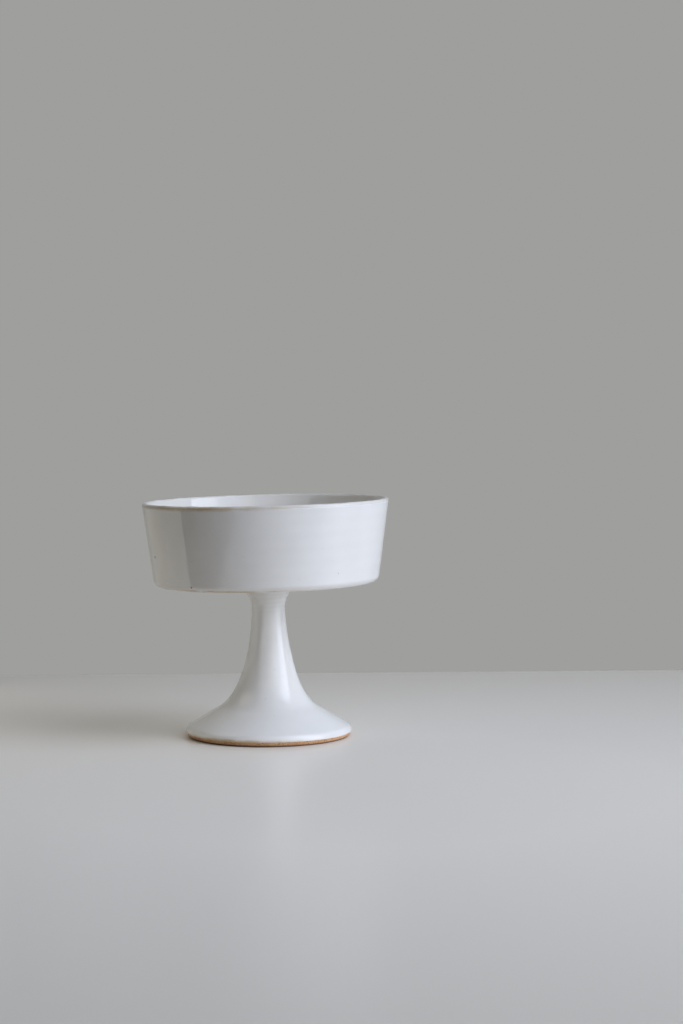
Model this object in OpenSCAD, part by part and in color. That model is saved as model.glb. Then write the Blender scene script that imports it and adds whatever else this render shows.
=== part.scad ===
// Footed pudding cup in wheel-thrown stoneware: a shallow straight-walled bowl luted to a hollow
// trumpet foot, glazed all over except for the ring that stands on the table.
// Millimetres, +Z up, origin at the centre of the resting ring.
// Outside sizes are taken over the glaze, as on the finished cup. The clay lies one glaze coat inside.

/* [Bowl] */
// Height of the cup, from the table to the top of the lip
cup_h = 101; // [90:0.5:120]
// Outside height of the bowl, from its underside to the top of the lip
bowl_h = 36.6; // [28:0.2:46]
// Outside diameter at the lip
rim_d = 104; // [92:1:120]
// Outside diameter just above the rounded lower corner
base_d = 95.2; // [84:0.2:102]
// Radius of the outside lower corner
corner_r = 3; // [1:0.1:4]
// Thickness of the rounded lip
lip_t = 2.2; // [1.8:0.1:3.2]
// Thickness of the wall where it rises from the floor
wall_t = 3.8; // [3:0.1:5]
// Thickness of the floor
floor_t = 4.8; // [4:0.1:7]
// Radius between the floor and the wall, inside
inner_r = 7; // [4:0.5:12]

/* [Trumpet foot] */
// Widest diameter of the foot
foot_d = 70; // [62:0.5:80]
// Radius of the foot's rolled edge
edge_r = 3; // [2:0.1:3.5]
// Height of the widest point of the rolled edge
edge_h = 2.3; // [2.2:0.1:4]
// Lean of the edge below its widest point, in degrees
edge_taper = 12; // [6:1:15]
// Slope of the flank, in degrees
flank_angle = 30.5; // [20:0.5:36]
// Width of the straight flank, measured level
flank_w = 12.4; // [8:0.1:14]
// How far the flank's slope reaches into the flare
flare_pull = 13.4; // [8:0.1:20]
// How far the upright neck reaches down into the flare
neck_pull = 8; // [3:0.5:14]
// Diameter at the narrowest point of the neck
neck_d = 14.1; // [13:0.1:18]
// Distance of the narrowest point below the bowl
neck_drop = 10; // [7:0.2:13]
// Diameter at which the cove under the bowl runs out
collar_d = 28; // [21:0.5:32]
// How far the upright neck reaches up into the cove
cove_pull = 4; // [1:0.1:5]
// How far the level run-out reaches into the cove
collar_pull = 3; // [1:0.1:5]

/* [Hollow of the foot] */
// Thickness of the clay wall under the flank
foot_wall = 4; // [3:0.1:5]
// Width of the flat ring that the cup stands on
ring_w = 2.6; // [2:0.1:4]
// Bevel on the outer arris of the resting ring
arris = 0.5; // [0.2:0.1:0.8]
// Length of solid stem between the bowl and the hollow
solid_neck = 22; // [16:0.5:30]
// Width of the hollow at its closed top
hollow_top_d = 7; // [6:0.2:8]
// Radius round the closed top of the hollow
hollow_top_r = 2.5; // [1.5:0.1:3]

/* [Joint] */
// Thickness of the slip that lutes the bowl to the stem
slip_t = 0.6; // [0.4:0.1:1]
// Spacing of the rings scored into both faces of the joint
score_pitch = 1.8; // [1.4:0.1:3]
// Width of a scored ring
score_w = 0.9; // [0.5:0.1:1.2]
// Depth of a scored ring
score_depth = 0.3; // [0.2:0.05:0.35]

/* [Glaze] */
// Thickness of the glaze coat
glaze_t = 0.4; // [0.25:0.05:0.6]
// Height of the bare clay band round the foot
bare_h = 1.4; // [0.8:0.1:1.4]
// Width of bare clay wiped clean inside the resting ring
bare_w = 2; // [1:0.5:4]

/* [Hidden] */
$fn = 160;
// Turn of one step along a rounded stretch, in degrees
arc_step = 9;
// Steps along the flare, and along the cove and the hollow
flare_steps = 24;
cove_steps = 12;
// Overshoot of cuts
over = 1;

glaze_colour = "#dfe1e5";
liner_colour = "#e9eaec";
clay_colour = "#b88b60";
slip_colour = "#c8a47c";

// Points along curves, as [radius, height]

function along(a) = [cos(a), sin(a)];

function slice(path, from, to) = [for (i = [from:to]) path[i]];

function after_first(path) = slice(path, 1, len(path) - 1);

function reversed(path) = [for (i = [len(path) - 1:-1:0]) path[i]];

// Points on a circle from one angle to another
function arc(c, r, from, to) =
    let (n = ceil(abs(to - from) / arc_step))
    [for (i = [0:n]) c + r * along(from + (to - from) * i / n)];

// Points on a cubic curve with the four control points p0 to p3
function cubic(p0, p1, p2, p3, n) =
    [for (i = [0:n]) let (t = i / n, s = 1 - t)
        s * s * s * p0 + 3 * s * s * t * p1 + 3 * s * t * t * p2 + t * t * t * p3];

function left_of(v) = [-v[1], v[0]] / norm(v);

// The path moved sideways by d, to the left of its direction, with every segment kept parallel
function shifted(path, d) =
    [for (i = [0:len(path) - 1])
        let (
            j = max(i, 1),
            k = min(i + 1, len(path) - 1),
            m = left_of(path[j] - path[j - 1]) + left_of(path[k] - path[k - 1])
        )
        path[i] + 2 * d * m / (m * m)];

// Lean from upright of a line that touches a circle at c1 and a higher one at c2, where gap is the
// difference of their radii if they lie on one side of the line, and the sum if they don't
function tangent_lean(c1, c2, gap) =
    let (v = c2 - c1)
    atan2(v[0], v[1]) - asin(gap / norm(v));

// Outside of the trumpet foot, over the glaze, from the glaze line up to the bowl

under_z = cup_h - bowl_h;
neck_z = under_z - neck_drop;
foot_r = foot_d / 2;
neck_r = neck_d / 2;
collar_r = collar_d / 2;

edge_c = [foot_r - edge_r, edge_h];
edge_low = edge_c + edge_r * along(-edge_taper);
glaze_line = [edge_low[0] - (edge_low[1] - bare_h) * tan(edge_taper), bare_h];
flank_start = edge_c + edge_r * along(90 - flank_angle);
flank_end = flank_start + flank_w * [-1, tan(flank_angle)];
flank_way = along(180 - flank_angle);

neck = [neck_r, neck_z];
collar = [collar_r, under_z];
edge_curve = arc(edge_c, edge_r, -edge_taper, 90 - flank_angle);
flare_curve = cubic(flank_end, flank_end + flare_pull * flank_way, neck - [0, neck_pull], neck, flare_steps);
cove_curve = cubic(neck, neck + [0, cove_pull], collar - [collar_pull, 0], collar, cove_steps);
stem_skin = concat([glaze_line], edge_curve, flare_curve, after_first(cove_curve));

// Outside, lip and inside of the bowl, over the glaze

lip_r = lip_t / 2;
floor_z = under_z + floor_t;
corner_c = [base_d / 2 - corner_r, under_z + corner_r];
lip_c = [rim_d / 2 - lip_r, cup_h - lip_r];
wall_lean = tangent_lean(corner_c, lip_c, corner_r - lip_r);
lip_out = lip_c + lip_r * along(-wall_lean);
floor_corner_z = floor_z + inner_r;
wall_r_there = lip_out[0] - (lip_out[1] - floor_corner_z) * tan(wall_lean);
floor_c = [wall_r_there - wall_t - inner_r, floor_corner_z];
inner_lean = tangent_lean(floor_c, lip_c, inner_r + lip_r);

bowl_outside = concat(arc(corner_c, corner_r, -90, -wall_lean), [lip_out]);
bowl_inside = concat(
    after_first(arc(lip_c, lip_r, -wall_lean, 180 - inner_lean)),
    arc(floor_c, inner_r, -inner_lean, -90),
    [[0, floor_z]]
);

// The whole glazed skin from the foot to the middle of the bowl's floor, and the clay under it

skin = concat(stem_skin, bowl_outside, bowl_inside);
clay_skin = shifted(skin, glaze_t);
skin_end = len(skin) - 1;
collar_i = len(stem_skin) - 1;
lip_i = collar_i + len(bowl_outside);

// Joint, resting ring and hollow of the foot

clay_under_z = under_z + glaze_t;
joint_z = clay_under_z - slip_t;
// Plain clay left between the last scored ring and the edge of the joint
score_margin = 1.5;
score_radii = [score_pitch:score_pitch:collar_r - score_margin - score_w];

clay_edge = clay_skin[0];
ring_out = clay_edge - clay_edge[1] * [tan(edge_taper), 1];
ring_arris = ring_out + arris * [tan(edge_taper), 1];
mouth_r = ring_out[0] - arris - ring_w;

hollow_h = under_z - solid_neck;
under_flank = flank_end - (foot_wall + glaze_t) * along(90 - flank_angle);
mouth = [mouth_r, under_flank[1] - (mouth_r - under_flank[0]) * tan(flank_angle)];
top_c = [hollow_top_d / 2 - hollow_top_r, hollow_h - hollow_top_r];
top_side = top_c + [hollow_top_r, 0];
hollow_skin = concat(
    [mouth],
    cubic(under_flank, under_flank + flare_pull * flank_way, top_side - [0, neck_pull], top_side, cove_steps),
    after_first(arc(top_c, hollow_top_r, 0, 90)),
    [[0, hollow_h]]
);
lining_start = mouth + bare_w * [-1, tan(flank_angle)];
lining_skin = concat([lining_start], after_first(hollow_skin));

// Section of a coat between two matching paths
module coat(outer, inner) {
    polygon(concat(outer, reversed(inner)));
}

// Rings scored into a face of the joint, each half in the clay and half in the slip
module scoring(z) {
    for (r = score_radii)
        translate([r, z])
            polygon([[-score_w / 2, 0], [0, -score_depth], [score_w / 2, 0], [0, score_depth]]);
}

// Clear space above a level, for cutting the stem at the joint
module above(z) {
    translate([0, z]) square([collar_d, slip_t + over]);
}

// Outline of the stem from the axis to its skin, up to the bowl
module stem_section() {
    polygon(concat(
        [[0, 0], ring_out - [arris, 0], ring_arris],
        slice(clay_skin, 0, collar_i),
        [[0, clay_under_z]]
    ));
}

// Thrown bowl, with a level floor, a leaning wall that thins upwards and a rounded lip
module bowl() {
    color(clay_colour)
    rotate_extrude()
    difference() {
        polygon(concat([[0, clay_under_z]], slice(clay_skin, collar_i + 1, skin_end)));
        scoring(clay_under_z);
    }
}

// Thrown trumpet foot, hollow from below, closed into a solid neck under the bowl
module pedestal_foot() {
    color(clay_colour)
    rotate_extrude()
    difference() {
        stem_section();
        polygon(concat([[0, -over], [mouth_r, -over]], hollow_skin));
        above(joint_z);
        scoring(joint_z);
    }
}

// Slip that lutes the bowl to the stem and fills the scored rings on both sides
module joint_slip() {
    color(slip_colour)
    rotate_extrude() {
        intersection() {
            stem_section();
            above(joint_z);
        }
        scoring(joint_z);
        scoring(clay_under_z);
    }
}

// Coat outside, from the bare band of the foot up the stem, under the bowl and up to the lip
module outer_glaze() {
    color(glaze_colour)
    rotate_extrude()
    coat(slice(skin, 0, lip_i), slice(clay_skin, 0, lip_i));
}

// Coat poured into the bowl, from the lip down the wall and over the floor
module liner_glaze() {
    color(liner_colour)
    rotate_extrude()
    coat(slice(skin, lip_i, skin_end), slice(clay_skin, lip_i, skin_end));
}

// Coat in the hollow of the foot, wiped back from the resting ring
module foot_lining_glaze() {
    color(glaze_colour)
    rotate_extrude()
    coat(lining_skin, shifted(lining_skin, glaze_t));
}

bowl();
pedestal_foot();
joint_slip();
outer_glaze();
liner_glaze();
foot_lining_glaze();
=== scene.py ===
import bpy
import numpy as np
from mathutils import Matrix, Vector


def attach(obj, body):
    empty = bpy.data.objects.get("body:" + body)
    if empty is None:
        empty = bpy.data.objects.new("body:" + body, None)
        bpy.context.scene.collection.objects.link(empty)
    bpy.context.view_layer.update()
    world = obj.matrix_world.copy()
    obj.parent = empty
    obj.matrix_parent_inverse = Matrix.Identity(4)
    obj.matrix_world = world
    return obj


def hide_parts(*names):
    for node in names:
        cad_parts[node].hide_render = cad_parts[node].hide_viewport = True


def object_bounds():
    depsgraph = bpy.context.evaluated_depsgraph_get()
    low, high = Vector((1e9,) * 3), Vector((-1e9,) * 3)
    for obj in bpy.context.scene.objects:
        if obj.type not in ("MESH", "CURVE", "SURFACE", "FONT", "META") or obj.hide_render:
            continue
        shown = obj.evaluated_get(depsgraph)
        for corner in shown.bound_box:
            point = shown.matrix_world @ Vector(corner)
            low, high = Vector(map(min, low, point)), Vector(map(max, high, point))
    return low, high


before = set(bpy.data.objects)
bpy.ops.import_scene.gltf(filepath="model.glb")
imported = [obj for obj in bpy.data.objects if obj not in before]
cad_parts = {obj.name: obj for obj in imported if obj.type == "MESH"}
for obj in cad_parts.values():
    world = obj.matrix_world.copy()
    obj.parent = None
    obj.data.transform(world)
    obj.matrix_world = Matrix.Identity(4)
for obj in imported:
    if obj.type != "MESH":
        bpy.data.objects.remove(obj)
cad_low, cad_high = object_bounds()


# Trumpet foot: a stoneware cone thrown on the wheel, rolled at its edge and drawn in to a slim neck.
# It is hollow from below. Fired clay shows only where it stands, in a ring wiped clean of glaze.
# Sizes are in millimetres, over the glaze, and points of an outline are [radius, height].

foot_r = 35.0
edge_r = 3.0
edge_h = 2.3
edge_taper = np.radians(12)
flank_angle = np.radians(30.5)
flank_w = 12.4
flare_pull = 13.4
neck_r = 7.05
neck_h = 54.4
neck_pull = 8.0
under_h = 64.4
collar_r = 14.0
cove_pull = 4.0
collar_pull = 3.0
foot_wall = 4.0
ring_w = 2.2
arris = 0.9
hollow_h = 42.4
hollow_top_r = 3.5
hollow_round = 2.5
glaze_t = 0.4
bare_h = 2.0
slip_t = 0.6
# The next two give the width and depth of the painted contact shadow under the foot's edge.
contact_shade_w = 0.75
contact_shade_depth = 0.95
# The front-left turn, where the glaze ran off most and the painted shade is strongest.
runoff_and_shade_turn = np.radians(-122)


def along(angle):
    """Unit step in the direction of an angle, one row for each angle."""
    return np.stack([np.cos(angle), np.sin(angle)], axis=-1)


def arc(centre, radius, start, end, steps):
    """Points on a circle, at even angles from start to end."""
    return np.asarray(centre) + radius * along(np.linspace(start, end, steps + 1))


def line(start, end, steps):
    """Points at even distances from start to end, without either of them."""
    t = np.linspace(0, 1, steps + 1)[1:-1, None]
    return (1 - t) * np.asarray(start) + t * np.asarray(end)


def cubic(p0, p1, p2, p3, steps):
    """Points on a cubic curve: the four controls weighted by the terms of (s + t) cubed, with s + t = 1."""
    t = np.linspace(0, 1, steps + 1)[:, None]
    s = 1 - t
    p0, p1, p2, p3 = (np.asarray(p) for p in (p0, p1, p2, p3))
    return s**3 * p0 + 3 * s**2 * t * p1 + 3 * s * t**2 * p2 + t**3 * p3


def shifted(path, distance):
    """The path moved to the left of its direction: each point goes along the mean of its two normals."""
    way = np.diff(path, axis=0)
    normal = np.stack([-way[:, 1], way[:, 0]], axis=1) / np.linalg.norm(way, axis=1)[:, None]
    mean = np.concatenate([normal[:1], normal]) + np.concatenate([normal, normal[-1:]])
    return path + 2 * distance * mean / np.sum(mean**2, axis=1)[:, None]


def smooth_rise(low, high, value):
    """0 below low, 1 above high, and an S-curve between them."""
    t = np.clip((value - low) / (high - low), 0, 1)
    return t * t * (3 - 2 * t)


foot_x = 1.05
stem_bow = 0.33
bow_h = 34.0
bow_reach = 14.0
base_x = 0.35
rim_x = 0.08
bowl_h = 35.2
bowl_tilt = np.radians(1.1)
free_r = 2.2 * collar_r
free_h = under_h + 5
oval = 0.0012
lip_wave = 0.03
lip_fade = 3.0


def as_thrown(points):
    """Moves points of the true round form to where the hand-made cup has them.

    The foot and stem stand foot_x off the axis, and a bell curve about bow_h bows the stem further to +X.
    The bowl sits off them: its middle drifts from base_x at its base to rim_x at the lip, and a shear by
    bowl_tilt makes its +X side the higher one. S-curves out to free_r and up to free_h join the two.
    Above the neck a cosine of twice the turn makes it oval, and three sines of the turn wave the lip.
    """
    x, y, z = np.moveaxis(points, -1, 0)
    turn = np.arctan2(y, x)
    wave = lip_wave * (np.sin(23 * turn + 2.1) + np.sin(37 * turn + 0.7) + np.sin(14 * turn))
    lip_rise = wave * smooth_rise(under_h + bowl_h - lip_fade, under_h + bowl_h, z)
    above_neck = smooth_rise(neck_h, under_h, z)
    out_of_stem = smooth_rise(collar_r, free_r, np.hypot(x, y)) * above_neck
    in_bowl = 1 - (1 - out_of_stem) * (1 - smooth_rise(under_h, free_h, z))
    stem_x = foot_x + stem_bow * np.exp(-(((z - bow_h) / bow_reach) ** 2))
    bowl_x = base_x + (rim_x - base_x) * np.clip((z - under_h) / bowl_h, 0, 1)
    spread = 1 + above_neck * oval * np.cos(2 * turn + 0.9)
    moved_x = x * spread + stem_x + in_bowl * (bowl_x - stem_x)
    return np.stack([moved_x, y * spread, z + in_bowl * x * np.sin(bowl_tilt) + lip_rise], axis=-1)


def turned(path, steps):
    """A path turned about the axis: point i of the path at turn j of steps is one vertex of the grid.

    The path keeps the solid on its left. A path that ends on the axis is closed by one vertex there,
    and any other path is a loop. Gives the vertices and the faces.
    """
    capped = path[0, 0] < 1e-9
    rings = path[1:-1] if capped else path
    turn = 2 * np.pi * np.arange(steps) / steps
    radius, height = rings[:, :1], rings[:, 1:]
    grid = np.stack([radius * np.cos(turn), radius * np.sin(turn), height + 0 * turn], axis=-1)
    index = np.arange(len(rings) * steps).reshape(len(rings), steps)
    if not capped:
        index = np.concatenate([index, index[:1]])
    here, above = index[:-1], index[1:]
    quads = np.stack([here, np.roll(here, -1, 1), np.roll(above, -1, 1), above], axis=-1)
    points = grid.reshape(-1, 3)
    faces = quads.reshape(-1, 4).tolist()
    if capped:
        ends = np.array([[0, 0, path[0, 1]], [0, 0, path[-1, 1]]])
        first, last = index[0], index[-1]
        top = len(points)
        faces += np.stack([np.full(steps, top), np.roll(first, -1), first], axis=-1).tolist()
        faces += np.stack([last, np.roll(last, -1), np.full(steps, top + 1)], axis=-1).tolist()
        points = np.concatenate([points, ends])
    return points, faces


def piece(name, points, faces, material, slot, node):
    """A smooth mesh piece, from points in millimetres, that rides on the cup and stands for a CAD node."""
    mesh = bpy.data.meshes.new(name)
    mesh.from_pydata((as_thrown(points) / 1000).tolist(), [], faces)
    mesh.polygons.foreach_set("use_smooth", np.ones(len(mesh.polygons), bool))
    mesh.materials.append(material)
    mesh.update()
    made = bpy.data.objects.new(name, mesh)
    bpy.context.scene.collection.objects.link(made)
    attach(made, "root")
    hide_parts(node)
    return made


def mark(made, name, values):
    """Gives each point of a piece a number, which its material reads as the attribute of that name."""
    layer = made.data.attributes.new(name, "FLOAT", "POINT")
    layer.data.foreach_set("value", values.astype(np.float32))


def linear(colour):
    """An sRGB hex colour as linear red, green, blue and alpha."""
    c = np.array([int(colour[i:i + 2], 16) for i in (1, 3, 5)]) / 255
    c = np.where(c <= 0.04045, c / 12.92, ((c + 0.055) / 1.055) ** 2.4)
    return (*c.tolist(), 1.0)


def add(tree, kind, inputs, **settings):
    """A shader node with its settings, where each input is a value or the output that feeds it."""
    made = tree.nodes.new(kind)
    for name, value in settings.items():
        setattr(made, name, value)
    for name, value in inputs.items():
        if isinstance(value, bpy.types.NodeSocket):
            tree.links.new(value, made.inputs[name])
        else:
            made.inputs[name].default_value = value
    return made


def per_metre(size_mm):
    """Texture scale of a pattern whose features are size_mm across."""
    return 1000 / size_mm


def finish(name):
    """An empty material with its tree and its surface output."""
    material = bpy.data.materials.new(name)
    material.use_nodes = True
    material.node_tree.nodes.clear()
    return material, material.node_tree, material.node_tree.nodes.new("ShaderNodeOutputMaterial")


def bare_stoneware():
    """Fired stoneware, unglazed: a dry tan body with sandy grain of about half a millimetre.

    Where its attribute rises to 1, at the edge it stands on, painted contact shadow darkens it.
    """
    material, tree, output = finish("bare_stoneware")
    place = add(tree, "ShaderNodeTexCoord", {}).outputs["Object"]
    toasting = add(tree, "ShaderNodeTexNoise", {"Vector": place, "Scale": per_metre(9), "Detail": 3})
    sand = add(tree, "ShaderNodeTexNoise", {"Vector": place, "Scale": per_metre(0.5), "Detail": 2})
    body = add(tree, "ShaderNodeMix", {
        "Factor": toasting.outputs["Fac"], "A": linear("#D3A172"), "B": linear("#E8C096")}, data_type="RGBA")
    grain = add(tree, "ShaderNodeValToRGB", {"Fac": sand.outputs["Fac"]})
    grain.color_ramp.elements[0].position = 0.3
    grain.color_ramp.elements[0].color = linear("#C8B8A6")
    grain.color_ramp.elements[1].position = 0.55
    grain.color_ramp.elements[1].color = linear("#FFFFFF")
    colour = add(tree, "ShaderNodeMix", {
        "Factor": 1.0, "A": body.outputs["Result"], "B": grain.outputs["Color"]},
        data_type="RGBA", blend_type="MULTIPLY")
    # Painted contact shadow: a dark brown mixed in where the attribute rises.
    contact_shade = add(tree, "ShaderNodeAttribute", {}, attribute_name="contact_shade").outputs["Fac"]
    clay_with_contact_shade = add(tree, "ShaderNodeMix", {
        "Factor": contact_shade, "A": colour.outputs["Result"], "B": linear("#46372E")}, data_type="RGBA")
    bump = add(tree, "ShaderNodeBump", {"Height": sand.outputs["Fac"], "Strength": 0.35, "Distance": 0.0002})
    shader = add(tree, "ShaderNodeBsdfPrincipled", {
        "Base Color": clay_with_contact_shade.outputs["Result"], "Normal": bump.outputs["Normal"],
        "Roughness": 0.85, "IOR": 1.5, "Specular IOR Level": 0.3})
    tree.links.new(shader.outputs["BSDF"], output.inputs["Surface"])
    return material


edge_c = np.array([foot_r - edge_r, edge_h])
glaze_start = -np.arcsin((edge_h - bare_h) / edge_r)
flank_start = edge_c + edge_r * along(np.pi / 2 - flank_angle)
flank_end = flank_start + flank_w * np.array([-1, np.tan(flank_angle)])
flank_way = along(np.pi - flank_angle)
neck = np.array([neck_r, neck_h])
collar = np.array([collar_r, under_h])
stem_skin = np.concatenate([
    arc(edge_c, edge_r, glaze_start, np.pi / 2 - flank_angle, 20),
    line(flank_start, flank_end, 24),
    cubic(flank_end, flank_end + flare_pull * flank_way, neck - [0, neck_pull], neck, 100),
    cubic(neck, neck + [0, cove_pull], collar - [collar_pull, 0], collar, 36)[1:],
])
stem_clay = shifted(stem_skin, glaze_t)
joint_h = under_h + glaze_t - slip_t

clay_low = edge_c + (edge_r - glaze_t) * along(-edge_taper)
ring_out = clay_low - clay_low[1] * np.array([np.tan(edge_taper), 1])
ring_edge = ring_out + arris * np.array([np.tan(edge_taper), 1])
mouth_r = ring_out[0] - arris - ring_w
under_flank = flank_end - (foot_wall + glaze_t) * along(np.pi / 2 - flank_angle)
mouth = np.array([mouth_r, under_flank[1] - (mouth_r - under_flank[0]) * np.tan(flank_angle)])
top_c = np.array([hollow_top_r - hollow_round, hollow_h - hollow_round])
top_side = top_c + [hollow_round, 0]
hollow_skin = np.concatenate([
    [mouth],
    line(mouth, under_flank, 16),
    cubic(under_flank, under_flank + flare_pull * flank_way, top_side - [0, neck_pull], top_side, 60),
    arc(top_c, hollow_round, 0, np.pi / 2, 10)[1:],
    [[0, hollow_h]],
])
bare_ring = np.array([[mouth_r, 0], [ring_out[0] - arris, 0], ring_edge])
below_joint = stem_clay[stem_clay[:, 1] < joint_h]
foot_outline = np.concatenate([
    hollow_skin[::-1],
    line(mouth, bare_ring[0], 4),
    bare_ring[:1],
    line(bare_ring[0], bare_ring[1], 6),
    bare_ring[1:],
    line(ring_edge, below_joint[0], 5),
    below_joint,
    [[below_joint[-1, 0], joint_h], [0, joint_h]],
])
foot_points, foot_faces = turned(foot_outline, 240)
stoneware = bare_stoneware()
foot = piece("thrown_foot", foot_points, foot_faces, stoneware, "stoneware", "pedestal_foot")

# Painted contact shadow along the edge it stands on: a bell curve of the distance, up to twice as
# wide on the front-left side, away from the light.
stand_edge = np.hypot(np.hypot(foot_points[:, 0], foot_points[:, 1]) - bare_ring[1, 0], foot_points[:, 2])
foot_turn = np.arctan2(foot_points[:, 1], foot_points[:, 0])
contact_shade_reach = contact_shade_w * (1 + (0.5 + 0.5 * np.cos(foot_turn - runoff_and_shade_turn)) ** 4)
mark(foot, "contact_shade", contact_shade_depth * np.exp(-((stand_edge / contact_shade_reach) ** 2)))


# Joining slip: liquid clay of the same body, brushed onto the scored top of the stem and under the bowl.
# It is squeezed to a thin disc as the two are pressed together, and fires into one piece with them.

slip_edge = stem_clay[stem_clay[:, 1] >= joint_h]
slip_outline = np.concatenate([
    [[0, joint_h], [below_joint[-1, 0], joint_h]],
    slip_edge,
    [[0, under_h + glaze_t]],
])
piece("joining_slip", *turned(slip_outline, 96), stoneware, "slip", "joint_slip")


# Bowl: the same stoneware, thrown with a level floor and a straight leaning wall that thins towards
# a rounded lip, then turned upside down and trimmed to a flat base with a tight lower corner.

lip_h = under_h + bowl_h
rim_gap = 0.15
rim_r = (cad_high.x - cad_low.x) * 500 - rim_gap
lip_r = 1.1
base_r = 47.6
corner_r = 3.0
wall_t = 3.8
floor_h = 69.2
inner_r = 7.0


def tangent_lean(low, high, gap):
    """Lean from upright of a line that touches circles round two points, from the gap between radii."""
    across, up = high - low
    return np.arctan2(across, up) - np.arcsin(gap / np.hypot(across, up))


corner_c = np.array([base_r - corner_r, under_h + corner_r])
lip_c = np.array([rim_r - lip_r, lip_h - lip_r])
wall_lean = tangent_lean(corner_c, lip_c, corner_r - lip_r)
lip_out = lip_c + lip_r * along(-wall_lean)
wall_foot = corner_c + corner_r * along(-wall_lean)
floor_corner_h = floor_h + inner_r
wall_r_there = lip_out[0] - (lip_out[1] - floor_corner_h) * np.tan(wall_lean)
floor_c = np.array([wall_r_there - wall_t - inner_r, floor_corner_h])
inner_lean = tangent_lean(floor_c, lip_c, inner_r + lip_r)
lip_in = lip_c + lip_r * along(np.pi - inner_lean)
inner_foot = floor_c + inner_r * along(-inner_lean)
bowl_outside = np.concatenate([
    line(collar, corner_c - [0, corner_r], 24),
    arc(corner_c, corner_r, -np.pi / 2, -wall_lean, 16),
    line(wall_foot, lip_out, 80),
    [lip_out],
])
bowl_inside = np.concatenate([
    arc(lip_c, lip_r, -wall_lean, np.pi - inner_lean, 24)[1:],
    line(lip_in, inner_foot, 60),
    arc(floor_c, inner_r, -inner_lean, -np.pi / 2, 24),
    line(floor_c - [0, inner_r], [0, floor_h], 40),
    [[0, floor_h]],
])
skin = np.concatenate([stem_skin, bowl_outside, bowl_inside])
clay_skin = shifted(skin, glaze_t)
bowl_clay = clay_skin[len(stem_skin):]
bowl_outline = np.concatenate([[[0, under_h + glaze_t]], bowl_clay])
piece("thrown_bowl", *turned(bowl_outline, 180), stoneware, "stoneware", "bowl")


# Outside glaze: an opaque white glaze that the cup was dipped in, fired to a glossy glass 0.4 mm thick.
# It has thinned and shows warm where it ran off the lip, and ends in a soft roll at the foot. The same
# warm colour along the lower corner is painted shade of its downward-facing round.

speck_turn = np.radians([-159.2, -129.9, -52.6, -14, 22, 58, 71, 117, 164])
speck_h = np.array([77.85, 66.4, 70.9, 88.2, 93.6, 72.4, 81.9, 68.7, 90.3])
speck_r = [0.75, 0.5, 0.38, 0.3, 0.45, 0.4, 0.3, 0.5, 0.35]
speck_shade = [0.9, 0.95, 0.3, 0.4, 0.8, 0.5, 0.7, 0.6, 0.8]
speck_out = np.interp(speck_h, bowl_outside[:, 1], bowl_outside[:, 0])
speck_at = np.stack([speck_out * np.cos(speck_turn), speck_out * np.sin(speck_turn), speck_h], axis=1)
specks = as_thrown(speck_at) / 1000
pit_gap = 5.0
pit_core = 0.2
pit_r = 0.45
ridge_h = 0.018
ridge_pitch = 5.5
neck_ridge_h = 0.045
neck_ridge_pitch = 1.9


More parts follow.
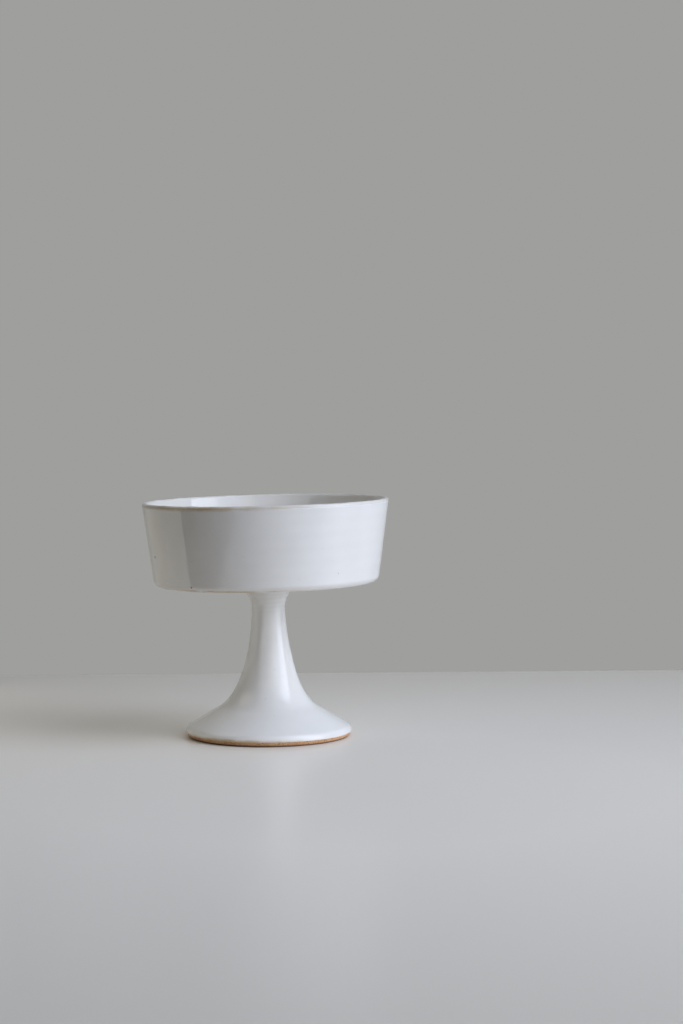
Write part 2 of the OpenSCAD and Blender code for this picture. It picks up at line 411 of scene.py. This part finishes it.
def white_glaze(name, low, high):
    """Opaque white stoneware glaze: a clear glossy skin over a white that clouds between low and high.

    Where its thinness attribute rises to 1, the warm body shows through in soft lumps; along the bowl's
    lower corner that warm colour is painted shade. Burst bubbles leave faint pits of radius pit_r, one in
    each random cell of about pit_gap. Around each speck, a grain of iron that has burnt through, the colour
    darkens with the nearness of its middle.
    """
    material, tree, output = finish(name)
    place = add(tree, "ShaderNodeTexCoord", {}).outputs["Object"]
    cloud = add(tree, "ShaderNodeTexNoise", {"Vector": place, "Scale": per_metre(14), "Detail": 3})
    colour = add(tree, "ShaderNodeMix", {
        "Factor": cloud.outputs["Fac"], "A": linear(low), "B": linear(high)},
        data_type="RGBA").outputs["Result"]
    lumps = add(tree, "ShaderNodeTexNoise", {"Vector": place, "Scale": per_metre(6), "Detail": 3})
    thin_glaze_and_shade = add(tree, "ShaderNodeAttribute", {}, attribute_name="thin_glaze_and_shade").outputs["Fac"]
    worn = add(tree, "ShaderNodeMath", {0: lumps.outputs["Fac"], 1: thin_glaze_and_shade}, operation="MULTIPLY")
    shown = add(tree, "ShaderNodeMapRange", {"Value": worn.outputs[0], "From Min": 0.1, "From Max": 0.45})
    colour = add(tree, "ShaderNodeMix", {
        "Factor": shown.outputs["Result"], "A": colour, "B": linear("#CDBA9E")},
        data_type="RGBA").outputs["Result"]
    bubbles = add(tree, "ShaderNodeTexVoronoi", {"Vector": place, "Scale": per_metre(pit_gap)})
    pits = add(tree, "ShaderNodeMapRange", {
        "Value": bubbles.outputs["Distance"], "From Min": pit_core / pit_gap, "From Max": pit_r / pit_gap,
        "To Min": 0.16, "To Max": 0.0})
    colour = add(tree, "ShaderNodeMix", {
        "Factor": pits.outputs["Result"], "A": colour, "B": linear("#A2988B")},
        data_type="RGBA").outputs["Result"]
    for spot, radius, shade in zip(specks.tolist(), speck_r, speck_shade):
        away = add(tree, "ShaderNodeVectorMath", {0: place, 1: spot}, operation="DISTANCE")
        near = add(tree, "ShaderNodeMapRange", {
            "Value": away.outputs["Value"], "From Min": 0.0005 * radius, "From Max": 0.001 * radius,
            "To Min": shade, "To Max": 0.0}, interpolation_type="SMOOTHSTEP")
        colour = add(tree, "ShaderNodeMix", {
            "Factor": near.outputs["Result"], "A": colour, "B": linear("#544A42")},
            data_type="RGBA").outputs["Result"]
    peel = add(tree, "ShaderNodeTexNoise", {"Vector": place, "Scale": per_metre(9), "Detail": 1})
    gloss = add(tree, "ShaderNodeMapRange", {"Value": cloud.outputs["Fac"], "To Min": 0.02, "To Max": 0.05})
    bump = add(tree, "ShaderNodeBump", {"Height": peel.outputs["Fac"], "Strength": 0.3, "Distance": 0.0003})
    shader = add(tree, "ShaderNodeBsdfPrincipled", {
        "Base Color": colour, "Normal": bump.outputs["Normal"],
        "Roughness": gloss.outputs["Result"], "IOR": 1.5})
    tree.links.new(shader.outputs["BSDF"], output.inputs["Surface"])
    return material


def flow_marks(points):
    """Points moved out or in by a few hundredths of a millimetre, as throwing and the glaze's flow left them.

    A sine of height less turn climbs the cup as a spiral ridge, with a closer and deeper one near the neck,
    and two slow sines of the turn run round it. They die away below the lip.
    """
    x, y, z = points.T
    turn = np.arctan2(y, x)
    near_neck = np.exp(-(((z - neck_h - 4) / 5) ** 2))
    ridge = ridge_h * np.sin(2 * np.pi * z / ridge_pitch - turn)
    neck_ridge = neck_ridge_h * near_neck * np.sin(2 * np.pi * z / neck_ridge_pitch - turn)
    wave = 0.025 * np.sin(5 * turn + z / 9) + 0.02 * np.sin(9 * turn - z / 6 + 1.3)
    out = np.hypot(x, y)
    below_lip = smooth_rise(lip_out[1], lip_out[1] - lip_fade, z)
    scale = 1 + (ridge + neck_ridge + wave) * below_lip / np.maximum(out, 5)
    return np.stack([x * scale, y * scale, z], axis=1)


def thinned_and_shaded_places(points, places):
    """How far the glaze has thinned at each point, and at the bowl's lower corner how deep its painted
    shade is: the highest of the places' bell curves.

    Each has a middle on the outline, a width and a depth. The glaze ran off one side more than the other,
    and the painted shade is strongest on that same side, so the sixth power of a raised cosine of the turn
    scales it, from 1 down to 0.05.
    """
    out = np.hypot(points[:, 0], points[:, 1])
    there = np.zeros(len(points))
    for (r, z), width, depth in places:
        away = np.hypot(out - r, points[:, 2] - z)
        there = np.maximum(there, depth * np.exp(-((away / width) ** 2)))
    turn = np.arctan2(points[:, 1], points[:, 0])
    return there * (0.05 + 0.95 * (0.5 + 0.5 * np.cos(turn - runoff_and_shade_turn)) ** 6)


glaze = white_glaze("white_glaze", "#E8E8E6", "#F0F0EE")
lip_i = len(stem_skin) + len(bowl_outside)
outside_path = skin[:lip_i]

# The side against the clay is never seen, so it keeps one point in three.
hidden_side = shifted(outside_path, glaze_t)[::-1]
hidden_step = 3
outside_loop = np.concatenate([outside_path, hidden_side[:-1:hidden_step], hidden_side[-1:]])
outside_points, outside_faces = turned(outside_loop, 240)
outside_flow = flow_marks(outside_points)
outside = piece("outside_glaze", outside_flow, outside_faces, glaze, "white_glaze", "outer_glaze")
thin_lip = (lip_c + lip_r * along(np.radians(12)), 1.1, 0.88)
# Painted shade: a warm line along the lower corner, whose round faces down, strongest at the front left.
painted_corner_shade = (corner_c + corner_r * along(np.radians(-60)), 0.9, 1.0)
thin_foot = (stem_skin[0], 1.0, 1.15)
mark(outside, "thin_glaze_and_shade", thinned_and_shaded_places(outside_points, [thin_lip, painted_corner_shade, thin_foot]))


# Liner glaze: the same white glaze, poured into the bowl, swirled and tipped out over the lip.
# It is as thick as the outside coat and meets it along the outer edge of the lip. Its colours are the
# outside's painted a little darker and warmer, as painted shade inside the bowl.

liner_loop = np.concatenate([clay_skin[lip_i - 1:][::-1], skin[lip_i - 1:]])
liner_points, liner_faces = turned(liner_loop, 240)
# Painted shade: the liner takes a darker, warmer copy of the outside's colours.
liner_shaded_glaze = white_glaze("liner_glaze", "#E1DFDA", "#E9E7E2")
liner = piece("liner_glaze_coat", liner_points, liner_faces, liner_shaded_glaze, "white_glaze", "liner_glaze")
mark(liner, "thin_glaze_and_shade", thinned_and_shaded_places(liner_points, [thin_lip]))


# Lining of the foot: the same white glaze, swirled in the hollow and tipped out again.
# It is wiped back from the ring of bare clay that the cup stands on, so that it can't stick in the kiln.

bare_w = 2.0
lining_start = mouth + bare_w * np.array([-1, np.tan(flank_angle)])
lining_clay = np.concatenate([[lining_start], hollow_skin[hollow_skin[:, 0] < lining_start[0]]])
lining_loop = np.concatenate([shifted(lining_clay, glaze_t)[::-1], lining_clay])
lining_points, lining_faces = turned(lining_loop, 144)
piece("foot_lining", lining_points, lining_faces, glaze, "white_glaze", "foot_lining_glaze")


# Floor and backdrop: a pale satin top, open under the foot, and a plain grey wall, both clear from behind.
# The floor carries painted light: palest in front of the cup, and for bounced light pale right of the cup
# and nearly black beyond. Far off, the floor fades into the wall's grey. A dark card, a dark screen and a
# pale one at the left and front, which only the glaze sees, stand for the other sides of a room.

far_edge = 4.0
wall_y = 0.21
wall_grey = "#9F9F9D"
painted_light_at = (0.03, -0.12, 0)
painted_light_reach = (0.12, 0.45)
bounce_at = (0.16, 0.03, 0)
bounce_reach = (0.30, 0.40)
foot_at = (foot_x / 1000, 0, 0)
fade_reach = (0.5, 0.85)
opening_r = bare_ring[1, 0] / 1000


def sheet(name, corners, material):
    """One flat four-cornered face."""
    mesh = bpy.data.meshes.new(name)
    mesh.from_pydata(corners, [], [(0, 1, 2, 3)])
    mesh.materials.append(material)
    made = bpy.data.objects.new(name, mesh)
    bpy.context.scene.collection.objects.link(made)
    return made


def front_only(tree, output, shader):
    """Joins a shader to the output so that a sheet has it on its front, and is clear from behind."""
    behind = add(tree, "ShaderNodeNewGeometry", {}).outputs["Backfacing"]
    clear = add(tree, "ShaderNodeBsdfTransparent", {})
    sided = add(tree, "ShaderNodeMixShader", {0: behind, 1: shader, 2: clear.outputs["BSDF"]})
    tree.links.new(sided.outputs["Shader"], output.inputs["Surface"])


def seen_rays(tree):
    """1 for a ray from the camera, or one that the glaze or clear glass sends on, and 0 for bounced light."""
    ray = add(tree, "ShaderNodeLightPath", {}).outputs
    seen = ray["Is Camera Ray"]
    for kind in ("Is Glossy Ray", "Is Transmission Ray"):
        seen = add(tree, "ShaderNodeMath", {0: seen, 1: ray[kind]}, operation="MAXIMUM").outputs[0]
    return seen


floor_paint, tree, output = finish("floor_paint")
place = add(tree, "ShaderNodeTexCoord", {}).outputs["Object"]
# Painted light: palest round a spot in front of the cup, where the window's light falls, greyer away.
from_painted_light = add(tree, "ShaderNodeVectorMath", {0: place, 1: painted_light_at}, operation="DISTANCE")
greyer = add(tree, "ShaderNodeMapRange", {
    "Value": from_painted_light.outputs["Value"], "From Min": painted_light_reach[0], "From Max": painted_light_reach[1]})
pale = add(tree, "ShaderNodeMix", {
    "Factor": greyer.outputs["Result"], "A": linear("#F8F4EC"), "B": linear("#D2CDC2")}, data_type="RGBA")
satin = add(tree, "ShaderNodeBsdfPrincipled", {"Base Color": pale.outputs["Result"], "Roughness": 0.3})
# Painted bounce light: bounced light sees the top pale round a spot right of the cup, nearly black beyond.
from_bounce = add(tree, "ShaderNodeVectorMath", {0: place, 1: bounce_at}, operation="DISTANCE")
dimmer = add(tree, "ShaderNodeMapRange", {
    "Value": from_bounce.outputs["Value"], "From Min": bounce_reach[0], "From Max": bounce_reach[1]})
bounce = add(tree, "ShaderNodeMix", {
    "Factor": dimmer.outputs["Result"], "A": linear("#F2EADC"), "B": linear("#302E2C")}, data_type="RGBA")
dim = add(tree, "ShaderNodeBsdfDiffuse", {"Color": bounce.outputs["Result"]})
top = add(tree, "ShaderNodeMixShader", {0: seen_rays(tree), 1: dim.outputs["BSDF"], 2: satin.outputs["BSDF"]})
from_foot = add(tree, "ShaderNodeVectorMath", {0: place, 1: foot_at}, operation="DISTANCE").outputs["Value"]
far = add(tree, "ShaderNodeMapRange", {
    "Value": from_foot, "From Min": fade_reach[0], "From Max": fade_reach[1]})
camera_ray = add(tree, "ShaderNodeLightPath", {}).outputs["Is Camera Ray"]
hidden = add(tree, "ShaderNodeMath", {0: far.outputs["Result"], 1: camera_ray}, operation="MULTIPLY")
haze = add(tree, "ShaderNodeEmission", {"Color": linear(wall_grey), "Strength": 1.0})
top = add(tree, "ShaderNodeMixShader", {
    0: hidden.outputs[0], 1: top.outputs["Shader"], 2: haze.outputs["Emission"]})
solid = add(tree, "ShaderNodeMath", {0: from_foot, 1: opening_r}, operation="GREATER_THAN")
opening = add(tree, "ShaderNodeBsdfTransparent", {})
top = add(tree, "ShaderNodeMixShader", {
    0: solid.outputs[0], 1: opening.outputs["BSDF"], 2: top.outputs["Shader"]})
front_only(tree, output, top.outputs["Shader"])
floor_at = [(-far_edge, -far_edge), (far_edge, -far_edge), (far_edge, far_edge), (-far_edge, far_edge)]
sheet("floor", [(x, y, 0) for x, y in floor_at], floor_paint)

wall_paint, tree, output = finish("wall_paint")
matt = add(tree, "ShaderNodeBsdfDiffuse", {"Color": linear("#B4B3AE")})
even = add(tree, "ShaderNodeEmission", {"Color": linear(wall_grey), "Strength": 1.0})
front = add(tree, "ShaderNodeMixShader", {
    0: seen_rays(tree), 1: matt.outputs["BSDF"], 2: even.outputs["Emission"]})
front_only(tree, output, front.outputs["Shader"])
wall_at = [(-far_edge, 0), (far_edge, 0), (far_edge, far_edge), (-far_edge, far_edge)]
sheet("backdrop", [(x, wall_y, z) for x, z in wall_at], wall_paint)

card_paint, tree, output = finish("card_paint")
black = add(tree, "ShaderNodeBsdfDiffuse", {"Color": linear("#1E1C1A")})
front_only(tree, output, black.outputs["BSDF"])
card_x = (-0.6, -0.16)
card_y = (-0.5, -0.06)
card_h = 0.001
card_at = [(card_x[0], card_y[0]), (card_x[1], card_y[0]), (card_x[1], card_y[1]), (card_x[0], card_y[1])]
card = sheet("dark_card", [(x, y, card_h) for x, y in card_at], card_paint)


def upright(name, turns, away, heights, material):
    """An upright sheet that faces the cup and spans two turns from the camera's side, in degrees."""
    turns = np.radians(turns[::-1])
    ends = away * np.stack([np.sin(turns), -np.cos(turns)], axis=1)
    low_edge = [(x, y, heights[0]) for x, y in ends.tolist()]
    high_edge = [(x, y, heights[1]) for x, y in ends[::-1].tolist()]
    return sheet(name, low_edge + high_edge, material)


screen = upright("dark_screen", (-78, -48), 0.62, (0, 0.6), card_paint)
screen_paint, tree, output = finish("screen_paint")
glow = add(tree, "ShaderNodeEmission", {"Color": linear("#FFFFFF"), "Strength": 1.0})
front_only(tree, output, glow.outputs["Emission"])
pale_screen = upright("pale_screen", (-50, 10), 1.0, (0.12, 0.9), screen_paint)
for reflected in (card, screen, pale_screen):
    reflected.visible_camera = False
    reflected.visible_diffuse = False
    reflected.visible_shadow = False


# Light: tall soft boxes on the right, like a window, with wide fainter fill beside and above them. A low
# faint box close to the left side fades towards the back, under another. A lamp below the floor's opening
# lights the underside. The camera and the glaze see the room in the wall's grey, and it gives no light.

aim_h = 0.05


def soft_box(name, turns, rises, away, radiance, colour):
    """A rectangular lamp that faces the cup, between two turns from the camera's side and two rises.

    Both are in degrees, as seen from aim_h. Its middle is away metres off, and its power is the radiance
    times pi times its area.
    """
    turn = np.radians(np.mean(turns))
    rise = np.radians(np.mean(rises))
    lamp = bpy.data.lights.new(name, "AREA")
    lamp.shape = "RECTANGLE"
    lamp.size = 2 * away * np.cos(rise) * np.tan(np.radians(np.ptp(turns)) / 2)
    lamp.size_y = 2 * away * np.tan(np.radians(np.ptp(rises)) / 2)
    lamp.energy = radiance * np.pi * lamp.size * lamp.size_y
    lamp.color = linear(colour)[:3]
    facing = Vector((np.sin(turn) * np.cos(rise), -np.cos(turn) * np.cos(rise), np.sin(rise)))
    made = bpy.data.objects.new(name, lamp)
    made.location = away * facing + Vector((0, 0, aim_h))
    made.rotation_euler = facing.to_track_quat("Z", "Y").to_euler()
    made.visible_camera = False
    bpy.context.scene.collection.objects.link(made)


soft_box("window", (52, 83), (4, 44), 1.3, 4.7, "#E6EEFF")
soft_box("window_top", (54, 76), (46.5, 49.5), 1.3, 4.0, "#E6EEFF")
soft_box("window_sill", (45, 85), (-2, 4), 1.3, 2.6, "#E8EEFF")
soft_box("window_edge", (43, 52), (4, 44), 1.3, 2.4, "#EAF0FF")
soft_box("soft_side", (26, 43), (0, 40), 1.5, 2.1, "#D9E4FF")
soft_box("soft_front", (10, 26), (0, 40), 1.5, 1.38, "#FFF6E2")
soft_box("overhead", (30, 90), (44, 74), 1.6, 2.3, "#DCE7FF")
soft_box("left_side", (-115, -75), (30, 60), 0.5, 1.14, "#FFF3DC")
left_end = -106
left_rises = (-15, 8)
left_away = 0.22
soft_box("left_card", (left_end, -77), left_rises, left_away, 0.68, "#FFFDF6")
fade_step = 6.8
for i, radiance in enumerate([0.54, 0.43, 0.33, 0.25, 0.2]):
    turns = (left_end - fade_step * (i + 1), left_end - fade_step * i)
    soft_box(f"left_fade_{i}", turns, left_rises, left_away, radiance, "#FFFCEC")

under_lamp = bpy.data.lights.new("under_foot", "AREA")
under_lamp.shape = "DISK"
under_lamp.size = 0.3
under_lamp.energy = 0.7
under_foot = bpy.data.objects.new("under_foot", under_lamp)
under_foot.location = (foot_x / 1000, 0, -0.25)
under_foot.rotation_euler = (np.pi, 0, 0)
under_foot.visible_camera = False
bpy.context.scene.collection.objects.link(under_foot)

world = bpy.data.worlds.new("room")
world.use_nodes = True
room = world.node_tree.nodes["Background"]
room.inputs["Color"].default_value = linear(wall_grey)
world.node_tree.links.new(seen_rays(world.node_tree), room.inputs["Strength"])
bpy.context.scene.world = world


# Camera: an 80 mm lens about a metre away, a little above the lip, in an image of 683 by 1024 pixels.
# It looks along +Y and is turned a little to the right, down and round, by angles in radians.

camera_at = Vector((0.0010, -0.9574, 0.1457))
camera_yaw = 0.0325
camera_pitch = 0.0536
camera_roll = -0.0039

camera = bpy.data.cameras.new("camera")
camera.lens = 80
camera.sensor_width = 36
camera_object = bpy.data.objects.new("camera", camera)
forward = np.cos(camera_pitch)
ahead = Vector((np.sin(camera_yaw) * forward, np.cos(camera_yaw) * forward, -np.sin(camera_pitch)))
level = Vector((np.cos(camera_yaw), -np.sin(camera_yaw), 0))
upward = level.cross(ahead)
right = np.cos(camera_roll) * level + np.sin(camera_roll) * upward
above = -np.sin(camera_roll) * level + np.cos(camera_roll) * upward
turn_matrix = Matrix((right, above, -ahead)).transposed()
camera_object.matrix_world = Matrix.Translation(camera_at) @ turn_matrix.to_4x4()
bpy.context.scene.collection.objects.link(camera_object)
bpy.context.scene.camera = camera_object
bpy.context.scene.view_settings.view_transform = "Standard"
